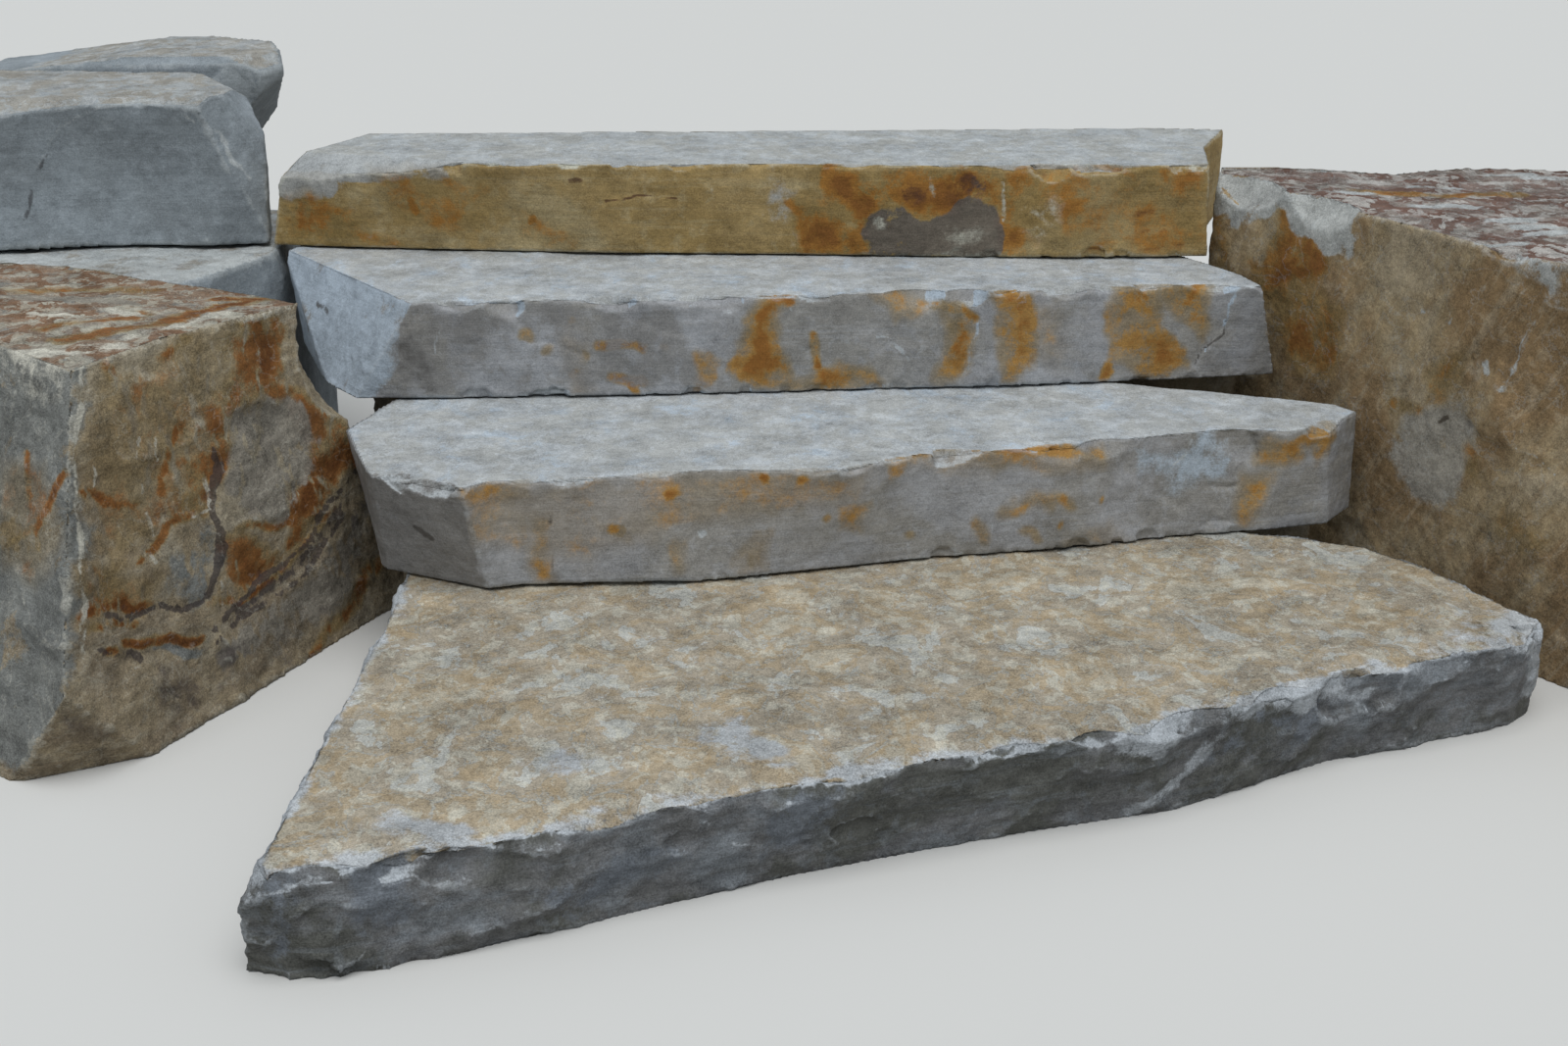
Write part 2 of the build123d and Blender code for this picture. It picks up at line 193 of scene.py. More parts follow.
class Skin:
    """The points of one stone, their first normals, and marks of chips, bruises and painted highlight."""

    def __init__(self, stone, seed):
        self.places = read(stone, "co")
        self.normals = read(stone, "normal")
        self.seed = seed
        self.side = smooth_step(0.2, 0.6, 1.0 - np.abs(self.normals[:, 2]))
        self.up = np.clip(self.normals[:, 2], 0.0, 1.0)
        self.pallor = np.zeros(len(self.places))
        self.plane = np.zeros(len(self.places))
        self.picker = np.random.default_rng(seed)
        self.wander = np.stack([rough(self.places, 60, 4, seed + 5 * axis) for axis in range(3)], axis=1)

    def swell(self, height_mm):
        """Move every point along its normal."""
        self.places += self.normals * (height_mm * MM)[:, None]

    def scar(self, point_mm, outward, width_mm, height_mm, depth_mm, pallor=0.0):
        """Press the skin straight back to a shell-shaped hollow, as wide, high and deep as given."""
        point = np.array(point_mm) * MM
        reach = max(width_mm, height_mm) * 0.6 * MM
        close = np.flatnonzero(np.all(np.abs(self.places - point) < reach, axis=1))
        close = close[self.normals[close] @ outward > -0.35]
        along_arris = np.cross((0.0, 0.0, 1.0), outward)
        along_arris /= np.linalg.norm(along_arris)
        away = self.places[close] - point
        ragged = away + self.wander[close] * (0.14 * min(width_mm, height_mm) * MM)
        across = (ragged @ along_arris / (0.5 * width_mm * MM)) ** 2
        across += (ragged @ np.cross(outward, along_arris) / (0.5 * height_mm * MM)) ** 2
        over = away @ outward + depth_mm * MM * (1.0 - across)
        over = np.where(across < 1.0, np.clip(over, 0.0, 2.0 * depth_mm * MM), 0.0)
        self.places[close] -= over[:, None] * outward
        self.pallor[close] = np.where(over > 0.3 * MM, pallor, self.pallor[close])

    def chip_line(self, line_mm, count, sizes, depth_share, azimuth, tilts=(15, 60), drop=0.2,
                  pallor=0.5):
        """Small shells knocked off an arris at random, mostly small ones."""
        line = [np.array(p, dtype=float) for p in line_mm]
        lengths = [np.linalg.norm(b - a) for a, b in zip(line, line[1:])]
        for _ in range(count):
            way = self.picker.uniform(0, sum(lengths))
            k = 0
            while way > lengths[k] and k < len(lengths) - 1:
                way -= lengths[k]
                k += 1
            width = sizes[0] + (sizes[1] - sizes[0]) * self.picker.uniform() ** 2.2
            point = line[k] + (line[k + 1] - line[k]) * min(way / lengths[k], 1.0)
            point[2] -= self.picker.uniform(0, drop) * width
            outward = heading(azimuth + self.picker.uniform(-25, 25), self.picker.uniform(*tilts))
            self.scar(point, outward, width, width * self.picker.uniform(0.4, 0.9),
                      width * self.picker.uniform(*depth_share), pallor * self.picker.uniform())

    def scars(self, count, sizes, depth_share, chosen, lean, pallor):
        """Shallow shells split off at random points of the chosen skin."""
        where = np.flatnonzero(chosen)
        for k in self.picker.choice(where, count):
            width = sizes[0] + (sizes[1] - sizes[0]) * self.picker.uniform() ** 1.6
            outward = self.normals[k] + self.picker.uniform(-lean, lean, 3)
            outward /= np.linalg.norm(outward)
            self.scar(self.places[k] / MM, outward, width, width * self.picker.uniform(0.4, 0.8),
                      width * self.picker.uniform(*depth_share), pallor * self.picker.uniform())

    def step_back(self, view, line_mm, depth_mm, fade_mm, bruise=0.1):
        """Edge of a flake that has come off: the skin right of the line sinks, most at the line."""
        close, axes, facing = facing_points(view, line_mm, self.places, self.normals, fade_mm + 20.0)
        away, side, share = beside(line_mm, self.places[close], axes, self.wander[close] * 4.0)
        taper = smooth_step(0.0, 0.15, share) * smooth_step(1.0, 0.85, share) * smooth_step(0.2, 0.4, facing)
        past = np.where(side < 0, away, -away)
        sunk = smooth_step(-7.0, 7.0, past) * np.clip(1.0 - past / fade_mm, 0.0, 1.0) ** 1.5
        self.places[close] -= self.normals[close] * (depth_mm * MM * sunk * taper)[:, None]
        paled = bruise * taper * (1.0 - smooth_step(1.0, 6.0, away))
        self.pallor[close] = np.maximum(self.pallor[close], paled)

    def slit(self, view, line_mm, width_mm, depth_mm):
        """Narrow open crack along a line."""
        close, axes, facing = facing_points(view, line_mm, self.places, self.normals, width_mm + 20.0)
        away, _, share = beside(line_mm, self.places[close], axes, self.wander[close] * 5.0)
        taper = smooth_step(0.0, 0.2, share) * smooth_step(1.0, 0.8, share) * smooth_step(0.2, 0.4, facing)
        sunk = taper * (1.0 - smooth_step(0.2, 1.0, away / width_mm))
        self.places[close] -= self.normals[close] * (depth_mm * MM * sunk)[:, None]

    def keep_inside(self, node):
        """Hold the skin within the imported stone's own box."""
        low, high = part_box(node)
        np.clip(self.places, np.array(low), np.array(high), out=self.places)


# The two axes in which lines are measured in each view, and the way that skin in it faces
VIEWS = {"front": ((0, 2), (0, -1, 0)), "left": ((1, 2), (-1, 0, 0)), "above": ((0, 1), (0, 0, 1))}


def facing_points(view, line_mm, places, normals, reach_mm):
    """The points near a line that face the front, the left or the sky.

    Gives them, the two axes in which the line is measured, and how much each point faces that way.
    """
    axes, way = VIEWS[view]
    line = np.array(line_mm, dtype=float)
    flat = places[:, axes] / MM
    near = np.all((flat > line.min(axis=0) - reach_mm) & (flat < line.max(axis=0) + reach_mm), axis=1)
    facing = normals @ np.array(way, dtype=float)
    close = np.flatnonzero(near & (facing > 0.15))
    return close, axes, facing[close]


def beside(line_mm, places, axes, wander_mm):
    """How far each point is from a line in millimetres, on which side, and how far along it, 0 to 1."""
    loose = (places / MM + wander_mm)[:, axes]
    line = [np.array(p, dtype=float) for p in line_mm]
    lengths = [np.linalg.norm(b - a) for a, b in zip(line, line[1:])]
    away = np.full(len(places), 1e9)
    side = np.zeros(len(places))
    share = np.zeros(len(places))
    for k, (start, stop) in enumerate(zip(line, line[1:] or line)):
        along = stop - start
        t = np.clip((loose - start) @ along / max(along @ along, 1e-9), 0.0, 1.0)
        here = np.linalg.norm(loose - start - t[:, None] * along, axis=1)
        nearer = here < away
        turn = along[0] * (loose[:, 1] - start[1]) - along[1] * (loose[:, 0] - start[0])
        away = np.where(nearer, here, away)
        side = np.where(nearer, turn, side)
        if lengths:
            share = np.where(nearer, (sum(lengths[:k]) + t * lengths[k]) / sum(lengths), share)
    return away, side, share


def within(outline_mm, places, axes, wander_mm):
    """Which points lie inside an outline."""
    loose = (places / MM + wander_mm)[:, axes]
    inside = np.zeros(len(places), dtype=bool)
    for (u, v), (next_u, next_v) in zip(outline_mm, outline_mm[1:] + outline_mm[:1]):
        if v != next_v:
            crossing = u + (loose[:, 1] - v) * (next_u - u) / (next_v - v)
            inside ^= ((v > loose[:, 1]) != (next_v > loose[:, 1])) & (loose[:, 0] < crossing)
    return inside


def split_faces(skin, shell_mm, depth_mm, ledge_mm, grain_mm, crest_pallor):
    """Shells of three sizes, each on the one before, thin ledges along the bedding and a grain.

    Some crests are made pale, as strongly as the last number says: bruises and painted highlight.
    """
    seed = skin.seed
    loose = skin.places + skin.wander * (0.16 * shell_mm * MM)
    broad, crest, plane = shells(loose, shell_mm, seed + 20, (1.4, 1.4, 0.9))
    small, small_crest, small_plane = shells(loose, 0.33 * shell_mm, seed + 25, (1.5, 1.5, 0.8))
    least, _, least_plane = shells(loose, 0.12 * shell_mm + 4.0, seed + 27, (1.5, 1.5, 0.8))
    skin.plane = 0.5 * plane + 0.3 * small_plane + 0.2 * least_plane
    ledges = leaves(rough(skin.places, 26, 3, seed + 30, (9.0, 9.0, 1.0)) * 1.6, 0.4) * 0.5
    grain = rough(skin.places, 22, 3, seed + 40, fade=0.6)
    height = broad * depth_mm + small * 0.28 * depth_mm + least * (0.09 * depth_mm + 0.6)
    skin.swell(skin.side * (height + ledges * ledge_mm + grain * grain_mm))
    # pale near the shell crests, partly bruising and partly painted highlight
    near = np.maximum(1.0 - smooth_step(0.0, 0.05, crest), 0.7 - smooth_step(0.0, 0.09, small_crest))
    paled = smooth_step(0.0, 0.6, rough(skin.places, 110, 4, seed + 45))
    skin.pallor = np.maximum(skin.pallor, skin.side * near * paled * crest_pallor)


def cleft_top(skin, roll_mm, leaf_mm, grain_mm):
    """Cleft bed: a faint roll, leaves a millimetre or so thick and a pitted grain, never above the level."""
    places, seed = skin.places, skin.seed
    roll = rough(places, 300, 2, seed + 50) * roll_mm
    leaf = leaves(rough(places, 70, 4, seed + 60) * 2.2, 0.3) * leaf_mm * 0.5
    grain = rough(places, 30, 3, seed + 70, fade=0.75) * grain_mm
    skin.swell(skin.up * (roll + leaf + grain - roll_mm - 0.8 * leaf_mm - grain_mm))


def ease_edge(skin, line_mm, width_mm, drop_mm):
    """Let the top fall away a little towards an arris."""
    away, _, _ = beside([p[:2] for p in line_mm], skin.places, (0, 1), skin.wander * 8)
    skin.places[:, 2] -= skin.up * (1.0 - smooth_step(0.0, width_mm, away)) * drop_mm * MM


# Painting: numbers from 0 to 1 that say where a stain or a tone lies

# iron is the orange stain, grey the leached patches, slate the blue grey heart of the stone, dark
# the manganese bands and cracks, and pale the fresh chips and bruises. Some grey and dark marks
# are painted shade, and pale on the crests is partly painted highlight
STAINS = ("iron", "grey", "slate", "dark", "pale")


def painted(coats, coat, places, normals, wander):
    """One coat of stain or tone, laid in the marks that are listed for it in each view.

    Views are the front (x, z), the left (y, z) and above (x, y), and a mark takes only on skin that
    faces that way. Each mark is (half width, strength, points). One of no width is an area, and its
    points are its outline.
    """
    laid = np.zeros(len(places))
    marks = [(view, *mark) for (name, view), listed in coats.items() if name == coat for mark in listed]
    for view, half_width, strength, line in marks:
        least = 0.5 if view == "above" else 0.15
        close, axes, facing = facing_points(view, line, places, normals, 50.0 + 2.5 * half_width)
        if half_width:
            away, _, _ = beside(line, places[close], axes, wander[close] * (0.8 * half_width + 3.0))
            share = 1.0 - smooth_step(0.1 * half_width, 2.3 * half_width, away)
        else:
            ragged = wander[close] * 16.0
            away, _, _ = beside(line + line[:1], places[close], axes, ragged)
            share = np.where(within(line, places[close], axes, ragged),
                             np.clip(0.55 + away / 60.0, 0.0, 0.95),
                             0.55 * (1.0 - smooth_step(0.0, 24.0, away)))
        laid[close] = np.maximum(laid[close], strength * share * smooth_step(least, least + 0.2, facing))
    return laid


def paint_stone(stone, skin, coats, top_mm):
    """Store the painted numbers: the bed of the stone, the coats of stain, the planes and the crests."""
    places = read(stone, "co")
    normals = read(stone, "normal")
    wander = np.stack([rough(places, 90, 5, skin.seed + seed, fade=0.6) for seed in (90, 97, 104)], axis=1)
    height_mm = places[:, 2] / MM
    bed = smooth_step(0.6, 0.85, skin.normals[:, 2]) * smooth_step(top_mm - 40, top_mm - 22, height_mm)
    store(stone, "bed", bed)
    # The sides away from the flight's foot are stained at random, as the ones that show are
    away = smooth_step(-0.1, 0.3, normals[:, 1]) * (1.0 - bed)
    blots = smooth_step(0.1, 0.7, rough(places, 260, 4, skin.seed + 120)) * 0.5
    spread = {"iron": away * blots, "pale": skin.pallor}
    for coat in STAINS:
        store(stone, coat, np.maximum(painted(coats, coat, places, normals, wander), spread.get(coat, 0.0)))
    store(stone, "plane", skin.plane)
    # the crests become pale ridges, partly painted highlight, and painted shade in the hollows
    store(stone, "crest", crests(stone, 8, 3.0))


def make_stone(node, voxel_mm, triangles, dress, material, seed, coats=None):
    """One stone: even skin, relief, fewer triangles, then the painted numbers and the finish."""
    stone = voxel_copy(node, voxel_mm)
    skin = Skin(stone, seed)
    dress(skin)
    skin.keep_inside(node)
    stone.data.vertices.foreach_set("co", skin.places.reshape(-1))
    stone.data.update()
    paint_stone(stone, skin, coats or {}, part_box(node)[1][2] / MM)
    thin_out(stone, triangles)
    stone.data.polygons.foreach_set("use_smooth", [True] * len(stone.data.polygons))
    stone.data.materials.clear()
    stone.data.materials.append(material)
    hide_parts(node)
    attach(stone, "root")


# Finishes


def linear(text):
    """sRGB hex colour as linear red, green and blue, and full alpha."""
    values = [int(text[k:k + 2], 16) / 255 for k in (0, 2, 4)]
    return tuple(v / 12.92 if v <= 0.04045 else ((v + 0.055) / 1.055) ** 2.4 for v in values) + (1.0,)


def add(tree, kind, inputs, output=0, **settings):
    """Add a shader node with its settings, set or link its inputs, and give back one output."""
    node = tree.nodes.new("ShaderNode" + kind)
    for name, value in settings.items():
        setattr(node, name, value)
    for socket, value in inputs.items():
        if isinstance(value, bpy.types.NodeSocket):
            tree.links.new(value, node.inputs[socket])
        else:
            node.inputs[socket].default_value = value
    return node.outputs[output] if node.outputs else node


def laid_over(tree, tone, layers):
    """Lay colours over a tone, each where its amount passes from low to high, up to its share."""
    for colour, amount, low, high, share in layers:
        cover = add(tree, "MapRange", {"Value": amount, "From Min": low, "From Max": high, "To Max": share},
                    interpolation_type="SMOOTHSTEP")
        tone = add(tree, "Mix", {0: cover, 6: tone, 7: linear(colour)}, output=2, data_type="RGBA")
    return tone


# The colours of a stone, in the order in which they are given
TINTS = ("face", "face_shade", "face_pale", "bed", "bed_warm", "bed_pale", "iron", "rust", "grey", "dark",
         "pallor", "slate", "ochre")


def sandstone(name, colours, patch_mm=70.0, seam_mm=(170.0, 170.0, 13.0), lean=0.0, seams=0.3, grain=1.8,
              bed_grain=1.8, leaf=0.4, crackle=0.0):
    """Split sandstone: a matt grain as strong at every size, cloudy tone, faint seams and stains.

    The painted numbers say where: bed is the cleft top, plane the shells of the split face, crest
    the ridges and hollows, and the rest are the stains.
    """
    tint = dict(zip(TINTS, colours.split()))
    material = bpy.data.materials.new(name)
    material.use_nodes = True
    tree = material.node_tree
    tree.nodes.clear()
    place = add(tree, "TexCoord", {}, output="Object")
    laid = add(tree, "Mapping", {"Vector": place, "Rotation": (lean, 0.0, 0.0),
                                 "Scale": [v * MM for v in seam_mm]}, vector_type="TEXTURE")
    drawn = add(tree, "Mapping", {"Vector": place, "Scale": (1.0, 1.4, 1.0)}, vector_type="TEXTURE")
    coats = {coat: add(tree, "Attribute", {}, output="Fac", attribute_name=coat)
             for coat in STAINS + ("bed", "plane", "crest")}

    # Noise at the sizes that show, in millimetres. Grit runs from 110 mm down, and the sand, 0.3 mm
    # on the stone, is drawn at 2 mm
    cloud, patch, flake, tan, grit, sand, lift, fine, blotch = (
        add(tree, "TexNoise", {"Vector": where, "Scale": 1 / (size_mm * MM), "Detail": detail,
                               "Roughness": roughness, "Distortion": twist})
        for where, size_mm, detail, roughness, twist in (
            (place, 210, 3.0, 0.5, 0.4), (place, patch_mm, 6.0, 0.62, 0.3), (drawn, 30, 4.0, 0.6, 0.4),
            (drawn, patch_mm, 6.0, 0.6, 0.4), (place, 110, 6.0, 0.92, 0.0), (place, 2.5, 1.0, 0.7, 0.0),
            (drawn, 85, 6.0, 0.56, 0.4), (place, 34, 5.0, 0.56, 0.0), (laid, 1250, 7.0, 0.75, 0.0)))
    ragged = add(tree, "Math", {0: patch, 1: 3.4, 2: -2.0}, operation="MULTIPLY_ADD")
    ragged = add(tree, "Math", {0: grit, 1: 2.6, 2: ragged}, operation="MULTIPLY_ADD")

    # Thin leaves of the cleft bed: flats at their own level and tone, with a steep edge between
    level = add(tree, "Math", {0: lift, 1: 10.0}, operation="MULTIPLY")
    flat = add(tree, "Math", {0: level}, operation="FLOOR")
    edge = add(tree, "Math", {0: level, 1: flat}, operation="SUBTRACT")
    edge = add(tree, "MapRange", {"Value": edge, "From Max": 0.25}, interpolation_type="SMOOTHSTEP")
    leaf_height = add(tree, "Math", {0: flat, 1: edge}, operation="ADD")
    leaf_tone = add(tree, "TexWhiteNoise", {"W": flat}, noise_dimensions="1D")
    ridge = add(tree, "Math", {0: lift, 1: 0.5}, operation="SUBTRACT")
    ridge = add(tree, "Math", {0: ridge}, operation="ABSOLUTE")

    # Split face, each plane a little lighter or darker, and cleft bed with flakes of tan and cream
    shade = add(tree, "Math", {0: coats["plane"], 1: 0.12, 2: cloud}, operation="MULTIPLY_ADD")
    side = laid_over(tree, linear(tint["face"]), (
        (tint["face_shade"], shade, 0.44, 0.6, 0.9), (tint["face_pale"], shade, 0.46, 0.34, 0.6),
        (tint["face_shade"], blotch, 0.5, 0.62, seams), (tint["face_pale"], blotch, 0.48, 0.38, seams),
        (tint["face_pale"], flake, 0.53, 0.66, 0.35)))
    top = laid_over(tree, linear(tint["bed"]), (
        (tint["bed_warm"], tan, 0.5, 0.53, 0.8), (tint["slate"], tan, 0.43, 0.4, 0.6),
        (tint["bed_pale"], leaf_tone, 0.45, 0.8, leaf), (tint["bed_warm"], leaf_tone, 0.4, 0.1, leaf),
        (tint["bed_pale"], flake, 0.55, 0.58, 0.6), (tint["bed_warm"], flake, 0.43, 0.4, 0.5)))
    bed_edge = add(tree, "Math", {0: grit, 1: 1.6, 2: coats["bed"]}, operation="MULTIPLY_ADD")
    bed_share = add(tree, "MapRange", {"Value": bed_edge, "From Min": 1.1, "From Max": 1.3})
    tone = add(tree, "Mix", {0: bed_share, 6: side, 7: top}, output=2, data_type="RGBA")

    # Stains with ragged edges: a wash of ochre, crisp orange in it, and rust where it is deepest.
    # Last, ridges are pale, partly bruising and partly painted highlight, and hollows are darkened as painted
    # shade
    torn = {coat: add(tree, "Math", {0: coats[coat], 1: ragged}, operation="MULTIPLY")
            for coat in STAINS + ("crest",)}
    deep = add(tree, "Math", {0: torn["iron"], 1: cloud}, operation="MULTIPLY")
    tone = laid_over(tree, tone, (
        (tint["slate"], torn["slate"], 0.25, 0.6, 0.85), (tint["ochre"], coats["iron"], 0.1, 0.6, 0.65),
        (tint["iron"], torn["iron"], 0.35, 0.75, 0.85), (tint["rust"], deep, 0.3, 0.56, 0.75),
        (tint["grey"], torn["grey"], 0.3, 0.6, 0.9), (tint["dark"], torn["dark"], 0.3, 0.62, 0.8),
        # the pale coat holds chips and bruises, and on the shells' crests partly painted highlight
        (tint["pallor"], torn["pale"], 0.26, 0.6, 0.85), (tint["pallor"], ridge, 0.012, 0.0, crackle),
        # pale on the ridges is partly bruising and partly painted highlight; dark in the hollows is painted
        # shade
        (tint["pallor"], torn["crest"], 0.35, 0.9, 0.35), (tint["dark"], torn["crest"], -0.3, -1.0, 0.45)))

    # Grit and sand darken and lighten everything by a few percent at each size
    strength = add(tree, "Mix", {0: coats["bed"], 2: grain, 3: bed_grain}, data_type="FLOAT")
    speckle = add(tree, "Math", {0: sand, 1: 0.5, 2: grit}, operation="MULTIPLY_ADD")
    speckle = add(tree, "Math", {0: speckle, 1: 0.75}, operation="SUBTRACT")
    speckle = add(tree, "Math", {0: speckle, 1: strength, 2: 1.0}, operation="MULTIPLY_ADD")
    tone = add(tree, "VectorMath", {0: tone, "Scale": speckle}, operation="SCALE")

    height = add(tree, "Math", {0: blotch, 1: 0.35, 2: fine}, operation="MULTIPLY_ADD")
    on_bed = add(tree, "Math", {0: coats["bed"], 1: 0.45 * leaf / grain}, operation="MULTIPLY")
    height = add(tree, "Math", {0: leaf_height, 1: on_bed, 2: height}, operation="MULTIPLY_ADD")
    bump = add(tree, "Bump", {"Height": height, "Distance": 3.2 * grain * MM, "Strength": 1.0})
    shader = add(tree, "BsdfPrincipled", {"Base Color": tone, "Roughness": 0.9, "Specular IOR Level": 0.25,
                                          "Normal": bump})
    add(tree, "OutputMaterial", {"Surface": shader})
    return material


# Lower slab: warm cleft bed, mottled grey, cream and tan, over an olive grey fracture with pale bruises
buff_stone = sandstone(
    "buff_cleft_sandstone",
    "707172 5b5c57 80878d 9c9c96 9c8a6d b3b1a4 98825f 85694a 6c7279 33322f acb2b7 a0a6ab 8a7446",
    patch_mm=85, grain=2.3, bed_grain=2.6, leaf=0.5)
# Middle slabs: pale grey, fine and even, with ochre stains
grey_stone = sandstone(
    "grey_split_sandstone",
    "97989a 8d8b86 a5a8ac a8adb0 a5a7a5 b3b8bb a57c3c 83511f 807f7d 4a4743 b1b7ba a9b7c4 8a7446",
    grain=1.5, bed_grain=2.0, leaf=0.35)
# Landing slab: the same bed over a face stained ochre right through
ochre_stone = sandstone(
    "ochre_split_sandstone",
    "a68f62 967f52 afa280 a5aaac a3a4a0 b2b6b7 9b6a2c 744a24 605b56 55392b b4b5a8 a3a7a8 8a7446",
    bed_grain=2.0, leaf=0.35)
# Left lower boulder: brown grey with rust and purple bands, and a blue grey side
banded_stone = sandstone(
    "rust_banded_sandstone",
    "94876f 7f7360 a39c8b 857b70 775c46 a8a597 7f5023 5b3517 847f75 433c3b b8b6aa 6f7474 8a7446",
    seam_mm=(190.0, 60.0, 20.0), seams=0.4, grain=2.7, bed_grain=3.0, leaf=0.8, crackle=0.22)
# Right boulder: golden brown with raking grain
golden_stone = sandstone(
    "golden_sandstone",
    "9d8c6e 8a7354 aca089 756a62 674f45 a9a6a1 8f652f 714825 928e85 443a30 a9aeae 93918a 8a7446",
    seam_mm=(190.0, 190.0, 15.0), lean=-1.1, seams=0.4, grain=2.4, bed_grain=3.0, leaf=0.8,
    crackle=0.25)
# Left upper stones: blue grey, smooth, with cream tops
blue_stone = sandstone(
    "blue_grey_sandstone",
    "899196 80878b 9aa2a8 9a9e9e 918d84 aaadad 96825e 80643c 9aa0a2 4a4b4d adb2b2 8e959b 8a7446",
    seams=0.12, grain=1.5, bed_grain=2.0, leaf=0.3)
# Hidden bearing stones
rubble_stone = sandstone(
    "rough_squared_sandstone",
    "8f8672 7c7364 a29b8c 989081 8a7a5c a8a292 8d7040 79532b 8a8980 423d36 aaa498 8e959b 8a7446")


# The slabs

# Front arrises from left to right
BOTTOM_ARRIS = [(-610, -502, 150), (-500, -474, 150), (-395, -439, 150), (-268, -382, 150), (0, -272, 150),
                (258, -174, 150), (498, -96, 150), (632, -17, 150), (769, 69, 150), (928, 139, 150),
                (1088, 197, 150), (1132, 268, 150)]
SECOND_ARRIS = [(-634, 430, 325), (-486, 360, 325), (-356, 400, 325), (91, 459, 325), (208, 529, 325),
                (421, 569, 325), (680, 643, 325), (896, 681, 325)]
THIRD_ARRIS = [(-566, 837, 495), (-384, 861, 495), (-38, 881, 495), (356, 917, 495), (681, 967, 495),
               (831, 954, 495)]
TOP_ARRIS = [(-925, 1264, 655), (-700, 1204, 665), (-353, 1186, 665), (354, 1178, 665), (770, 1188, 665)]


def lowered(line, height):
    """The same line at another height."""
    return [(x, y, height) for x, y, z in line]


def bottom_step(skin):
    """Rock-faced front of stacked shells, and a bed that falls off towards the arris."""
    front = (skin.side > 0.9) & (skin.normals[:, 1] < 0.3)
    split_faces(skin, 90.0, 19.0, 1.6, 1.0, 0.2)
    skin.scars(12, (60, 160), (0.05, 0.1), front, 0.25, 0.1)
    ease_edge(skin, BOTTOM_ARRIS, 60, 7)
    skin.scar((-612, -500, 138), heading(-140, 35), 170, 130, 16)
    skin.chip_line(BOTTOM_ARRIS, 90, (18, 130), (0.07, 0.14), -68, pallor=0.3)
    skin.chip_line(lowered(BOTTOM_ARRIS, 4), 40, (20, 90), (0.08, 0.15), -68, (-15, 15), 0)
    skin.scar((498, -92, 138), heading(-66, 48), 130, 80, 13)
    skin.scar((700, 30, 140), heading(-62, 52), 190, 80, 13)
    skin.scar((790, 85, 115), heading(-62, 40), 90, 60, 12)
    cleft_top(skin, 2.0, 1.6, 1.3)


def upper_step(skin, arris, low, azimuth):
    """Even split face, and small chips along both arrises."""
    split_faces(skin, 230.0, 7.5, 0.6, 0.35, 0.3)
    skin.chip_line(arris, 70, (12, 90), (0.06, 0.12), azimuth)
    skin.chip_line(lowered(arris, low + 3), 30, (12, 45), (0.06, 0.12), azimuth, (-20, 5), 0)
    cleft_top(skin, 1.5, 1.0, 0.6)


def second_step(skin):
    """Turned a little to the left, with one great flake off its right half."""
    upper_step(skin, SECOND_ARRIS, 150, -78)
    skin.scar((655, 634, 290), heading(-74, 6), 270, 210, 13)
    skin.step_back("front", [(670, 175), (615, 215), (565, 250), (535, 305)], 5.0, 110)
    skin.step_back("front", [(755, 195), (745, 250), (770, 320)], 3.0, 60)
    skin.step_back("front", [(-540, 160), (-515, 200), (-500, 290)], 3.0, 60)
    skin.slit("front", [(695, 231), (725, 229), (750, 231)], 6, 4)
    skin.slit("front", [(680, 160), (705, 172), (760, 165)], 6, 3)
    skin.step_back("front", [(-322, 170), (-318, 240), (-322, 310)], 1.5, 40, 0.0)


def third_step(skin):
    """Square to the flight, with a stained shell left proud and a raking crack."""
    crack = [(785, 492), (775, 450), (755, 395), (725, 350), (715, 330)]
    upper_step(skin, THIRD_ARRIS, 325, -84)
    skin.step_back("front", [(305, 475), (332, 450), (336, 425), (325, 400), (320, 360), (295, 330)], 4.5, 90)
    skin.step_back("front", crack, 3.0, 120, 0.0)
    skin.slit("front", crack, 4, 1.5)
    skin.step_back("front", [(475, 340), (445, 350), (420, 368)], 4.0, 40, 0.3)
    skin.step_back("front", [(-380, 400), (-420, 425), (-470, 470), (-500, 492)], 4.0, 90, 0.2)
    skin.step_back("front", [(-150, 420), (-230, 440), (-280, 470), (-300, 492)], 3.5, 70, 0.1)
    skin.slit("front", [(-460, 450), (-430, 425), (-360, 405), (-300, 395)], 6, 2)


def top_step(skin):
    """The landing, with two long shells off its upper arris."""
    upper_step(skin, TOP_ARRIS, 495, -90)
    skin.scar((260, 1176, 664), heading(-90, 35), 110, 60, 9)
    skin.scar((435, 1178, 668), heading(-90, 30), 230, 60, 9)
    skin.step_back("front", [(-195, 600), (-260, 605), (-325, 592)], 3.0, 50, 0.0)
    skin.step_back("front", [(165, 505), (160, 565), (205, 615)], 3.0, 70, 0.1)


